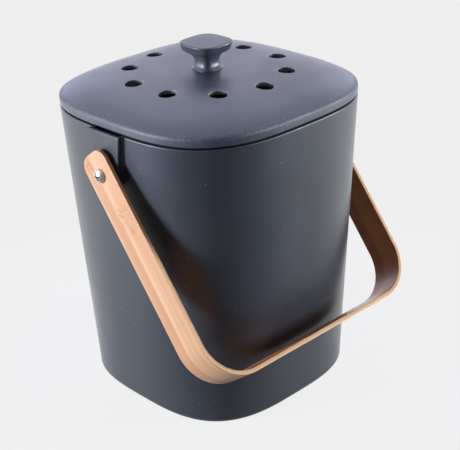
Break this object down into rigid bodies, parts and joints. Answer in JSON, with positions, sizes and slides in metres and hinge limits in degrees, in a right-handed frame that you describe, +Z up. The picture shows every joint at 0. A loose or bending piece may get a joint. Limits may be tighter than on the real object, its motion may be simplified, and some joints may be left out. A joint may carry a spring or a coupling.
{
  "type": "compost caddy",
  "caption": "Tapering rounded-square tub with a lift-off domed lid, vent holes over a twist-out filter, a flared knob and a swinging bail handle bent from a flat strip.",
  "frame": {"origin": "middle of the base on the surface it stands on", "axes": "+Z up, X along the handle's pivots, and the resting handle lies over the front, -Y"},
  "size_m": [0.2034, 0.1965, 0.248],
  "materials": {
    "composite_tub": "satin moulded bamboo-fibre composite, dark charcoal",
    "composite_lid": "satin moulded bamboo-fibre composite, dark charcoal with pale fibre specks",
    "seal_silicone": "matte silicone",
    "insert_brass": "machined",
    "fastener_steel": "nickel-plated, bright",
    "carbon_felt": "felt loaded with carbon",
    "cover_plastic": "moulded, fine texture",
    "bamboo": "bent laminated strip, clear satin lacquer",
    "spacer_nylon": "natural nylon"
  },
  "bodies": {
    "tub": {"bin_body": "composite_tub", "handle_screw_left": "fastener_steel", "handle_screw_right": "fastener_steel", "pivot_bush_left": "fastener_steel", "pivot_bush_right": "fastener_steel", "pivot_spacer_left": "spacer_nylon", "pivot_spacer_right": "spacer_nylon", "pivot_washer_left": "fastener_steel", "pivot_washer_right": "fastener_steel", "pivot_nut_left": "fastener_steel", "pivot_nut_right": "fastener_steel"},
    "lid_group": {"lid": "composite_lid", "lid_gasket": "seal_silicone", "lid_knob": "composite_lid", "knob_insert": "insert_brass", "knob_washer": "fastener_steel", "knob_screw": "fastener_steel", "charcoal_filter": "carbon_felt", "filter_collar": "composite_lid"},
    "cover_group": {"filter_cover": "cover_plastic"},
    "handle_group": {"bamboo_handle": "bamboo"}
  },
  "joints": [
    {"name": "lid_lift", "type": "slide", "parent": "tub", "child": "lid_group", "axis": [0, 0, 1], "range_m": [0, 0.12]},
    {"name": "handle_swing", "type": "hinge", "parent": "tub", "child": "handle_group", "pos_m": [0, 0, 0.1809], "axis": [-1, 0, 0], "range_deg": [0, 285.4]},
    {"name": "cover_twist", "type": "hinge", "parent": "lid_group", "child": "cover_group", "pos_m": [0, 0, 0.2066], "axis": [0, 0, -1], "range_deg": [0, 36]}
  ]
}
